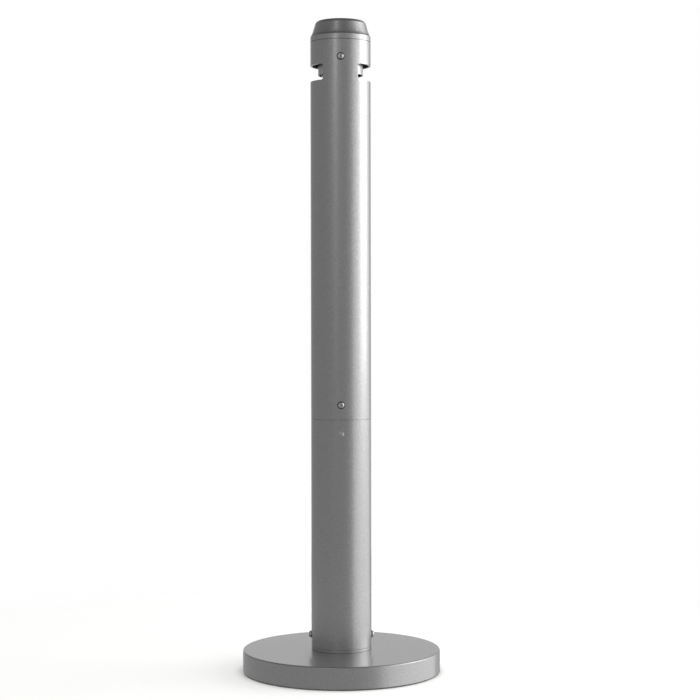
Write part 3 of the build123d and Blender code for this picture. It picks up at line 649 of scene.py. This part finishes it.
class ASHPOST_OT_pole_socket(bpy.types.Operator):
    """Cast the socket of the lower tube, whose shoulder hides the gasket"""
    bl_idname = "ashpost.pole_socket"
    bl_label = "Pole socket"

    def execute(self, context):
        sizes, tubes = context.scene.ash_post.socket, context.scene.ash_post.tubes
        foot, top = SOCKET_LOW.z, SOCKET_HIGH.z
        plug = TUBE_RADIUS - tubes.wall - context.scene.ash_post.head.plug_gap
        bore, shoulder, lip = plug - sizes.wall, foot + sizes.shoulder, TUBE_RADIUS - sizes.lip_wall
        outline = [(0, foot), (lip, foot), (lip, foot - sizes.lip), (TUBE_RADIUS, foot - sizes.lip)]
        outline += [(TUBE_RADIUS, shoulder), (plug, shoulder)]
        outline += [(plug, top - sizes.lead_in), (plug - sizes.lead_in, top)]
        outline += [(bore, top), (bore, foot + sizes.floor), (0, foot + sizes.floor)]
        socket = turn("pole_socket_cast", outline, tubes.segments)
        for x, y in bolt_places():
            cut(socket, upright_drill(sizes.bolt_hole / 2, x, y, foot - MM, foot + sizes.floor + MM))
        thread = context.scene.ash_post.screws.shank / 2 + THREAD_FIT
        cut(socket, *[side_drill(thread, a, FOOT_SCREWS_Z) for a in (LEFT, RIGHT)])
        round_edges(socket, 0.15 * MM, 2)
        hand_over(socket, "lower_pole", "silver_paint", "pole_socket")
        return {"FINISHED"}


class ASHPOST_OT_rubber_feet(bpy.types.Operator):
    """Mould the four rubber feet, with grip grooves underneath"""
    bl_idname = "ashpost.rubber_feet"
    bl_label = "Rubber feet"

    def execute(self, context):
        sizes = context.scene.ash_post.base
        top, bottom, height = sizes.foot_top / 2, sizes.foot_bottom / 2, FEET_HIGH.z
        recess, depth, hole = sizes.foot_counterbore / 2, sizes.foot_counterbore_depth, sizes.foot_hole / 2
        groove = sizes.foot_groove
        outline = [(hole, depth), (recess, depth), (recess, 0)]
        land = (bottom - recess) / 5
        for i in (1, 3):
            inner, outer = recess + i * land, recess + (i + 1) * land
            outline += [(inner, 0), (inner, groove), (outer, groove), (outer, 0)]
        outline += [(bottom, 0), (top, height), (hole, height)]
        blank = turn("foot_blank", outline, segments=48)
        round_edges(blank, 0.25 * MM, 2)
        centre = FEET_HIGH.x - top
        for name, x, y in (
            ("rubber_foot_front_left", -centre, -centre),
            ("rubber_foot_front_right", centre, -centre),
            ("rubber_foot_back_left", -centre, centre),
            ("rubber_foot_back_right", centre, centre),
        ):
            foot = copy_of(blank, name)
            foot.location = (x, y, 0)
            hand_over(settle(foot), "lower_pole", "black_rubber", "rubber_feet")
        pick(blank)
        bpy.ops.object.delete()
        return {"FINISHED"}


def tube_outline(low, high, wall):
    """The section of a length of the post's tube."""
    inside = TUBE_RADIUS - wall
    return [(inside, low), (TUBE_RADIUS, low), (TUBE_RADIUS, high), (inside, high)]


class ASHPOST_OT_lower_tube(bpy.types.Operator):
    """Cut the lower tube to length and drill it for its screws and rivets"""
    bl_idname = "ashpost.lower_tube"
    bl_label = "Lower tube"

    def execute(self, context):
        sizes = context.scene.ash_post.tubes
        top = LOWER_HIGH.z - sizes.joint_gap
        foot = LOWER_LOW.z + sizes.joint_gap / 2
        tube = turn("lower_tube_shell", tube_outline(foot, top, sizes.wall), sizes.segments)
        cut(tube, *[side_drill(sizes.hole / 2, a, FOOT_SCREWS_Z) for a in (LEFT, RIGHT)])
        shank = context.scene.ash_post.screws.rivet_shank / 2 + SHANK_FIT
        cut(tube, *[side_drill(shank, a, RIVETS_Z) for a in THREE_WAYS])
        round_edges(tube, sizes.edge, 2)
        hand_over(tube, "lower_pole", "silver_paint", "lower_tube")
        return {"FINISHED"}


class ASHPOST_OT_upper_tube(bpy.types.Operator):
    """Cut the upper tube to length, open its two slots and drill it for its screws"""
    bl_idname = "ashpost.upper_tube"
    bl_label = "Upper tube"

    def execute(self, context):
        sizes = context.scene.ash_post.tubes
        tube = turn("upper_tube_shell", tube_outline(UPPER_LOW.z, UPPER_HIGH.z, sizes.wall), sizes.segments)
        high = UPPER_HIGH.z - sizes.slot_drop
        low = high - sizes.slot_height
        inside = sizes.pillar / 2
        for mirrored in (False, True):
            cut(tube, side_cutter(low, high, inside, sizes.slot_corner, mirrored))
        places = ((FRONT, LOCK_SCREW_Z), (FRONT, HEAD_SCREWS_Z), (BACK, HEAD_SCREWS_Z))
        cut(tube, *[side_drill(sizes.hole / 2, a, height) for a, height in places])
        round_edges(tube, sizes.edge, 2)
        hand_over(tube, "upper_pole", "silver_paint", "upper_tube")
        return {"FINISHED"}


class ASHPOST_OT_head_collar(bpy.types.Operator):
    """Cast the collar that plugs into the upper tube, with its two screw lugs"""
    bl_idname = "ashpost.head_collar"
    bl_label = "Head collar"

    def execute(self, context):
        head, tubes = context.scene.ash_post.head, context.scene.ash_post.tubes
        seam, foot, top = UPPER_HIGH.z, COLLAR_LOW.z, COLLAR_HIGH.z
        plug = TUBE_RADIUS - tubes.wall - head.plug_gap
        bore, hole = plug - head.skirt_wall, head.web_hole / 2
        web = top - head.web
        flange = seam + tubes.joint_gap
        outline = [(hole, web), (bore, web), (bore, foot), (plug, foot), (plug, flange)]
        outline += [(TUBE_RADIUS, flange), (TUBE_RADIUS, seam + head.band)]
        outline += [(TUBE_RADIUS - head.top_inset, top), (hole, top)]
        collar = turn("head_collar_shell", outline, tubes.segments)
        relief = seam - head.relief
        for mirrored in (False, True):
            cut(collar, side_cutter(foot - 5 * MM, relief, tubes.pillar / 2, tubes.slot_corner, mirrored))
        thread = context.scene.ash_post.screws.shank / 2 + THREAD_FIT
        cut(collar, *[side_drill(thread, a, HEAD_SCREWS_Z) for a in (FRONT, BACK)])
        round_edges(collar, 0.45 * MM, 2, 25)
        hand_over(collar, "upper_pole", "silver_paint", "head_collar")
        return {"FINISHED"}


def boss_places(head):
    """Places of the dome's three screws."""
    radius = head.boss_circle / 2
    return [(radius * math.cos(t), radius * math.sin(t)) for t in map(math.radians, THREE_WAYS)]


class ASHPOST_OT_head_dome(bpy.types.Operator):
    """Cast the domed cap, hollow, with its three screw bosses"""
    bl_idname = "ashpost.head_dome"
    bl_label = "Head dome"

    def execute(self, context):
        head, segments = context.scene.ash_post.head, context.scene.ash_post.tubes.segments
        low, top, wall, corner = DOME_LOW.z, DOME_HIGH.z, head.wall, head.corner
        foot = TUBE_RADIUS - head.foot_inset
        knee = (TUBE_RADIUS - head.knee_inset, low + head.knee_height)
        tip = (TUBE_RADIUS - head.top_dome_inset, top - head.crown)
        lean = math.degrees(math.atan2(knee[0] - tip[0], tip[1] - knee[1]))
        flat = tip[0] - corner * math.tan(math.radians(90 - lean) / 2)
        gap, joint_depth, thread_depth = head.foot_gap, 2 * MM, 10 * MM
        step = foot - head.foot_chamfer - joint_depth
        outside = [(step, low), (step, low + gap), (foot - head.foot_chamfer, low + gap)]
        outside += [(foot, low + gap + head.foot_chamfer), knee]
        outside += arc((flat, tip[1] - corner), corner, lean, 90, 12)
        crown_steps = 6
        crown = [(flat * (1 - i / crown_steps), tip[1]) for i in range(1, crown_steps)]
        outside += [(r, z + head.crown * (1 - (r / flat) ** 2)) for r, z in crown] + [(0, top)]
        inner_corner = corner - wall
        inside = [(0, tip[1] - wall)]
        inside += arc((flat, tip[1] - corner), inner_corner, 90, lean, 6)
        inside += [(knee[0] - wall, knee[1]), (knee[0] - wall, low)]
        dome = turn("head_dome_shell", inside + outside, segments)
        for x, y in boss_places(head):
            cut(dome, upright_drill(head.boss / 2, x, y, low, tip[1] - wall / 2), operation="UNION")
            cut(dome, upright_drill(head.boss_hole / 2, x, y, low - wall, low + thread_depth))
        hand_over(dome, "upper_pole", "silver_paint", "head_dome", smooth=24)
        return {"FINISHED"}


class ASHPOST_OT_baffle(bpy.types.Operator):
    """Form the baffle that hangs behind the slots, with its inward flange"""
    bl_idname = "ashpost.baffle"
    bl_label = "Baffle"

    def execute(self, context):
        head = context.scene.ash_post.head
        radius, low, high = BAFFLE_HIGH.x, BAFFLE_LOW.z, BAFFLE_HIGH.z
        bore, hole = radius - head.baffle_wall, head.web_hole / 2
        shelf = high - head.baffle_flange
        outline = [(bore, low), (radius, low), (radius, high), (hole, high), (hole, shelf), (bore, shelf)]
        baffle = turn("baffle_shell", outline, segments=128)
        clearance = 0.3 * MM
        for x, y in boss_places(head):
            cut(baffle, upright_drill(head.boss_hole / 2 + clearance, x, y, shelf - MM, high + MM))
        round_edges(baffle, 0.4 * MM, 3)
        hand_over(baffle, "upper_pole", "mill_aluminium", "baffle_tube")
        return {"FINISHED"}


def button_screw(name, reach, sizes):
    """A button-head screw along +Z, bearing on the origin, with a hex socket and ring-shaped threads."""
    head, flat, top = sizes.head / 2, sizes.head_flat / 2, sizes.head_height
    crest, root, pitch = sizes.shank / 2, sizes.root / 2, sizes.pitch
    rim, tip, neck, edge = 0.35 * MM, 0.2 * MM, 0.3 * MM, 0.15 * MM
    outline = [(0, -reach), (root - tip, -reach)]
    height = -reach + pitch / 2
    while height < -1.5 * pitch:
        outline += [(root, height), (crest, height + 0.4 * pitch), (crest, height + 0.55 * pitch)]
        height += pitch
    outline += [(root, height), (root, -neck), (root + neck, 0), (head - edge, 0), (head, edge), (head, rim)]
    steps = 8
    for i in range(1, steps):
        t = math.radians(90 * i / steps)
        outline.append((flat + (head - flat) * math.cos(t), rim + (top - rim) * math.sin(t)))
    outline += [(flat, top), (0, top)]
    screw = turn(name, outline, segments=48)
    corner = sizes.socket / 2 / math.cos(math.radians(30))
    narrow, wide, mouth = corner - 0.4 * MM, corner + 0.6 * MM, MM
    point, overlap = 1.2 * MM, 0.05 * MM
    point_middle = top - sizes.socket_depth - point / 2 + overlap
    cut(
        screw,
        socket_cutter(6, corner, corner, 2 * sizes.socket_depth, top),
        socket_cutter(24, overlap, sizes.socket / 2, point, point_middle),
        socket_cutter(48, narrow, wide, mouth, top),
    )
    return screw


def socket_cutter(sides, low_radius, high_radius, depth, height):
    """A cutter on the axis for a screw's hexagon, the drill point under it or its chamfered mouth."""
    pick()
    bpy.ops.mesh.primitive_cone_add(
        vertices=sides, radius1=low_radius, radius2=high_radius, depth=depth, location=(0, 0, height),
    )
    return settle(named("socket_cutter"))


class ASHPOST_OT_screws(bpy.types.Operator):
    """Head and thread the button-head screws of the foot, the head and the lock"""
    bl_idname = "ashpost.screws"
    bl_label = "Button-head screws"

    def execute(self, context):
        sizes = context.scene.ash_post.screws
        seat = -WASHER_LOW.y
        lock_reach = LOCK_HIGH.y + seat
        for name, reach, angle_degrees, height, body, node in (
            ("foot_screw_left", sizes.base_reach, LEFT, FOOT_SCREWS_Z, "lower_pole", "base_screws"),
            ("foot_screw_right", sizes.base_reach, RIGHT, FOOT_SCREWS_Z, "lower_pole", "base_screws"),
            ("head_screw_front", sizes.head_reach, FRONT, HEAD_SCREWS_Z, "upper_pole", "head_screws"),
            ("head_screw_back", sizes.head_reach, BACK, HEAD_SCREWS_Z, "upper_pole", "head_screws"),
            ("lock_screw_threaded", lock_reach, FRONT, LOCK_SCREW_Z, "lock_screw", "lock_screw"),
        ):
            screw = button_screw(name, reach, sizes)
            place_out(screw, seat, angle_degrees, height)
            hand_over(screw, body, "stainless_screws", node, smooth=30)
        return {"FINISHED"}


class ASHPOST_OT_rivets(bpy.types.Operator):
    """Set the dome rivets of the coupling ring"""
    bl_idname = "ashpost.rivets"
    bl_label = "Coupling rivets"

    def execute(self, context):
        sizes = context.scene.ash_post.screws
        head, shank = sizes.rivet_head / 2, sizes.rivet_shank / 2
        rise, reach = sizes.rivet_height, sizes.rivet_reach
        sphere = (head**2 + rise**2) / (2 * rise)
        edge = math.degrees(math.acos(head / sphere))
        dome = arc((0, rise - sphere), sphere, edge, 90, 10)[1:-1]
        tip, rim = 0.3 * MM, 0.1 * MM
        outline = [(0, -reach), (shank - tip, -reach), (shank, tip - reach), (shank, 0), (head - rim, 0)]
        outline += [(head, rim)] + dome[1:] + [(0, rise)]
        for name, angle_degrees in zip(("rivet_front", "rivet_right", "rivet_left"), THREE_WAYS):
            rivet = turn(name, outline, segments=40)
            place_out(rivet, TUBE_RADIUS, angle_degrees, RIVETS_Z)
            hand_over(rivet, "lower_pole", "mill_aluminium", "coupling_rivets")
        return {"FINISHED"}


class ASHPOST_OT_screw_washers(bpy.types.Operator):
    """Make the washers under the button heads"""
    bl_idname = "ashpost.screw_washers"
    bl_label = "Screw washers"

    def execute(self, context):
        sizes = context.scene.ash_post.tubes
        outer, inner = (WASHER_HIGH.x - WASHER_LOW.x) / 2, sizes.hole / 2
        thickness = WASHER_HIGH.y - WASHER_LOW.y
        outline = [(inner, 0), (outer, 0), (outer, thickness), (inner, thickness)]
        washer = turn("washer_blank", outline, segments=64)
        round_edges(washer, 0.2 * MM, 3)
        steel, nylon = "stainless_screws", "black_nylon"
        for name, angle_degrees, height, body, slot, node in (
            ("lock_washer_moulded", FRONT, LOCK_SCREW_Z, "lock_washer", nylon, "lock_washer"),
            ("foot_washer_left", LEFT, FOOT_SCREWS_Z, "lower_pole", steel, "base_screw_washers"),
            ("foot_washer_right", RIGHT, FOOT_SCREWS_Z, "lower_pole", steel, "base_screw_washers"),
            ("head_washer_front", FRONT, HEAD_SCREWS_Z, "upper_pole", nylon, "head_screw_washers"),
            ("head_washer_back", BACK, HEAD_SCREWS_Z, "upper_pole", nylon, "head_screw_washers"),
        ):
            placed = place_out(copy_of(washer, name), TUBE_RADIUS, angle_degrees, height)
            hand_over(placed, body, slot, node)
        pick(washer)
        bpy.ops.object.delete()
        return {"FINISHED"}


def ear_rivet_drills(sizes):
    """Cutters for the ear rivets, out through both sides of the canister."""
    height = RIM_HIGH.z - sizes.lip - sizes.rivet_drop
    drills = []
    for y in (-sizes.rivet_spacing / 2, sizes.rivet_spacing / 2):
        pick()
        bpy.ops.mesh.primitive_cylinder_add(
            vertices=20, radius=sizes.rivet_hole / 2, depth=3 * TUBE_RADIUS, location=(0, y, height),
            rotation=(0, math.pi / 2, 0),
        )
        drills.append(settle(named("ear_rivet_drill")))
    return drills


class ASHPOST_OT_canister(bpy.types.Operator):
    """Roll the canister's body with its stiffening beads, and press its rim"""
    bl_idname = "ashpost.canister"
    bl_label = "Canister"

    def execute(self, context):
        sizes = context.scene.ash_post.canister
        radius, low, high, wall = CAN_HIGH.x, CAN_LOW.z, CAN_HIGH.z, sizes.wall
        outside = [(radius, low)]
        steps = 8
        for middle in (low + sizes.bead_edge, high - sizes.bead_edge):
            for i in range(steps + 1):
                swell = sizes.bead * math.sin(math.pi * i / steps) ** 2
                outside.append((radius - swell, middle + sizes.bead_width * (i / steps - 0.5)))
        outside.append((radius, high))
        inside = [(r - wall, z) for r, z in reversed(outside)]
        body = turn("canister_tube", outside + inside, segments=112)
        cut(body, *ear_rivet_drills(sizes))
        hand_over(body, "canister", "galvanised_sheet", "canister_body")

        neck = radius - wall - SHANK_FIT
        neck_bore, outer = neck - wall, RIM_HIGH.x
        flange_low, lip = CAN_HIGH.z, RIM_HIGH.z
        flange_high = flange_low + sizes.rim
        neck_low, inner = flange_high - sizes.neck, outer - sizes.rim
        outline = [(neck_bore, neck_low), (neck, neck_low), (neck, flange_low), (outer, flange_low)]
        outline += [(outer, lip), (inner, lip), (inner, flange_high), (neck_bore, flange_high)]
        rim = turn("canister_rim_pressed", outline, segments=112)
        cut(rim, *ear_rivet_drills(sizes))
        notch_edge = NUT_HIGH.y + sizes.notch_gap / 2
        middle = (0, notch_edge - TUBE_RADIUS / 2, (flange_low + lip) / 2)
        pick()
        bpy.ops.mesh.primitive_cube_add(size=1, location=middle)
        notch = named("notch_cutter")
        notch.scale = (NUT_HIGH.x - NUT_LOW.x + 2 * sizes.notch_gap, TUBE_RADIUS, 2 * (lip - flange_low))
        cut(rim, settle(notch))
        round_edges(rim, 0.3 * MM, 2)
        hand_over(rim, "canister", "galvanised_sheet", "canister_rim")
        return {"FINISHED"}


class ASHPOST_OT_stage(bpy.types.Operator):
    """Set up the pale floor, the soft studio lights and the camera"""
    bl_idname = "ashpost.stage"
    bl_label = "Stage"

    def execute(self, context):
        scene, stage = context.scene, context.scene.ash_post.stage
        scene.view_settings.view_transform = "Standard"
        self.lay_floor(scene.ash_post.finishes, stage)
        self.paint_room(scene, stage)
        # each light's name, place, the point that it faces, its size, all in metres, and its power
        for name, place, target, size, watts in (
            ("wide light", (2.3, 0.1, 0.8), (0, 0.1, 0.8), (4.6, 4.4), stage.wide_light),
            ("side light", (2.1, 0.25, 1.35), (0, 0.25, 1.35), (1.4, 1.8), stage.side_light),
            ("strip light", (-0.71, -2.0, 2.3), (0, 0, 2.3), (0.45, 2.1), stage.strip_light),
            ("low strip", (-0.68, -2.0, 0.8), (0, 0, 0.8), (0.14, 0.7), stage.low_strip),
            ("back light", (0, 2.2, 0.9), (0, 0, 0.9), (2.2, 2.0), stage.back_light),
            ("top light", (0, 0, 3.2), (0, 0, 0.6), (3.0, 3.0), stage.top_light),
        ):
            lamp = self.hang_light(name, Vector(place), Vector(target), size, watts)
            lamp.visible_glossy = name != "top light"
        camera = bpy.data.cameras.new("camera")
        camera.lens = stage.lens
        camera.sensor_width = 36
        shown = bpy.data.objects.new("camera", camera)
        scene.collection.objects.link(shown)
        shown.location = (0, -stage.distance, stage.height)
        shown.rotation_euler = (math.pi / 2 - stage.pitch, stage.roll, -stage.yaw)
        scene.camera = shown
        return {"FINISHED"}

    def lay_floor(self, looks, stage):
        """A pale round floor, a hair under the feet, whose edge fades into the background."""
        edge, fade_start, fade_end = 3.0, 0.35, 1.1  # metres from the post's axis
        drop = 0.1 * MM
        pick()
        bpy.ops.mesh.primitive_circle_add(vertices=128, radius=edge, fill_type="NGON", location=(0, 0, -drop))
        floor = settle(named("studio_floor"))
        tree, shader, place = new_material("studio floor", {"Base Color": looks.floor, "Roughness": 0.9})
        grain = add(tree, "ShaderNodeTexNoise", {"Vector": place, "Scale": 30.0})
        bump = add(tree, "ShaderNodeBump", {"Height": grain.outputs["Fac"], "Strength": 0.02})
        tree.links.new(bump.outputs["Normal"], shader.inputs["Normal"])
        reach = add(tree, "ShaderNodeVectorMath", {0: place}, operation="LENGTH")
        fade = add(
            tree, "ShaderNodeMapRange",
            {"Value": reach.outputs["Value"], "From Min": fade_start, "From Max": fade_end},
        )
        # the metal mirrors the floor only dimly, so the room's grey stays in it
        seen = add(tree, "ShaderNodeLightPath").outputs["Is Glossy Ray"]
        dim = add(tree, "ShaderNodeMath", {0: seen, 1: 1.0 - stage.floor_gloss}, operation="MULTIPLY")
        cover = add(tree, "ShaderNodeMath", {0: fade.outputs[0], 1: dim.outputs[0]}, operation="MAXIMUM")
        shown, clear = shader.outputs["BSDF"], add(tree, "ShaderNodeBsdfTransparent").outputs[0]
        mix = add(tree, "ShaderNodeMixShader", {0: cover.outputs[0], 1: shown, 2: clear})
        tree.links.new(mix.outputs[0], tree.nodes["Material Output"].inputs["Surface"])
        floor.data.materials.append(bpy.data.materials["studio floor"])
        floor.visible_shadow = False

    def paint_room(self, scene, stage):
        """A white backdrop for the camera, and a dim grey room for what the metal reflects."""
        world = bpy.data.worlds.new("room")
        world.use_nodes = True
        scene.world = world
        tree = world.node_tree
        tree.nodes.clear()
        view = add(tree, "ShaderNodeTexCoord").outputs["Generated"]
        direction = add(tree, "ShaderNodeSeparateXYZ", {"Vector": view})
        slope = add(tree, "ShaderNodeMath", {0: direction.outputs["Z"]}, operation="ABSOLUTE")
        level = add(
            tree, "ShaderNodeMapRange",
            {"Value": slope.outputs[0], "From Min": 0.25, "From Max": 0.75, "To Min": stage.surround,
             "To Max": stage.surround * stage.dim},
        )
        room = add(tree, "ShaderNodeBackground", {"Color": (1, 1, 1, 1), "Strength": level.outputs[0]})
        backdrop = add(tree, "ShaderNodeBackground", {"Color": (1, 1, 1, 1), "Strength": 1.0})
        seen = add(tree, "ShaderNodeLightPath").outputs["Is Camera Ray"]
        mix = add(tree, "ShaderNodeMixShader", {0: seen, 1: room.outputs[0], 2: backdrop.outputs[0]})
        add(tree, "ShaderNodeOutputWorld", {"Surface": mix.outputs[0]})

    def hang_light(self, name, place, target, size, watts):
        """A rectangular soft light that points at a target."""
        light = bpy.data.lights.new(name, "AREA")
        light.shape = "RECTANGLE"
        light.size, light.size_y = size
        light.energy = watts
        lamp = bpy.data.objects.new(name, light)
        bpy.context.scene.collection.objects.link(lamp)
        lamp.location = place
        lamp.rotation_euler = (target - place).to_track_quat("-Z", "Y").to_euler()
        lamp.visible_camera = False
        return lamp


class ASHPOST_PT_sidebar(bpy.types.Panel):
    """Lists the steps that build the post, in order"""
    bl_idname = "ASHPOST_PT_sidebar"
    bl_label = "Ash Post"
    bl_space_type = "VIEW_3D"
    bl_region_type = "UI"
    bl_category = "Ash Post"

    def draw(self, context):
        for operator in OPERATORS:
            self.layout.operator(operator.bl_idname)


OPERATORS = [
    ASHPOST_OT_finishes,
    ASHPOST_OT_base_cover,
    ASHPOST_OT_pole_socket,
    ASHPOST_OT_rubber_feet,
    ASHPOST_OT_lower_tube,
    ASHPOST_OT_upper_tube,
    ASHPOST_OT_head_collar,
    ASHPOST_OT_head_dome,
    ASHPOST_OT_baffle,
    ASHPOST_OT_screws,
    ASHPOST_OT_rivets,
    ASHPOST_OT_screw_washers,
    ASHPOST_OT_canister,
    ASHPOST_OT_stage,
]
PROPERTY_GROUPS = [
    AshPostTubes, AshPostBase, AshPostSocket, AshPostHead, AshPostScrews, AshPostCanister, AshPostFinishes,
    AshPostStage, AshPostSettings,
]


def register():
    """Adds the settings, operators and panel."""
    for part in PROPERTY_GROUPS + OPERATORS + [ASHPOST_PT_sidebar]:
        bpy.utils.register_class(part)
    bpy.types.Scene.ash_post = PointerProperty(
        type=AshPostSettings, name="Ash post", description="All settings",
    )


def unregister():
    """Removes what register added."""
    del bpy.types.Scene.ash_post
    for part in reversed(PROPERTY_GROUPS + OPERATORS + [ASHPOST_PT_sidebar]):
        bpy.utils.unregister_class(part)


def main():
    """Builds everything in order."""
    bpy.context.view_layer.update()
    register()
    bpy.ops.ashpost.finishes()
    bpy.ops.ashpost.base_cover()
    bpy.ops.ashpost.pole_socket()
    bpy.ops.ashpost.rubber_feet()
    bpy.ops.ashpost.lower_tube()
    bpy.ops.ashpost.upper_tube()
    bpy.ops.ashpost.head_collar()
    bpy.ops.ashpost.head_dome()
    bpy.ops.ashpost.baffle()
    bpy.ops.ashpost.screws()
    bpy.ops.ashpost.rivets()
    bpy.ops.ashpost.screw_washers()
    bpy.ops.ashpost.canister()
    bpy.ops.ashpost.stage()
    pick()


if __name__ == "__main__":
    main()
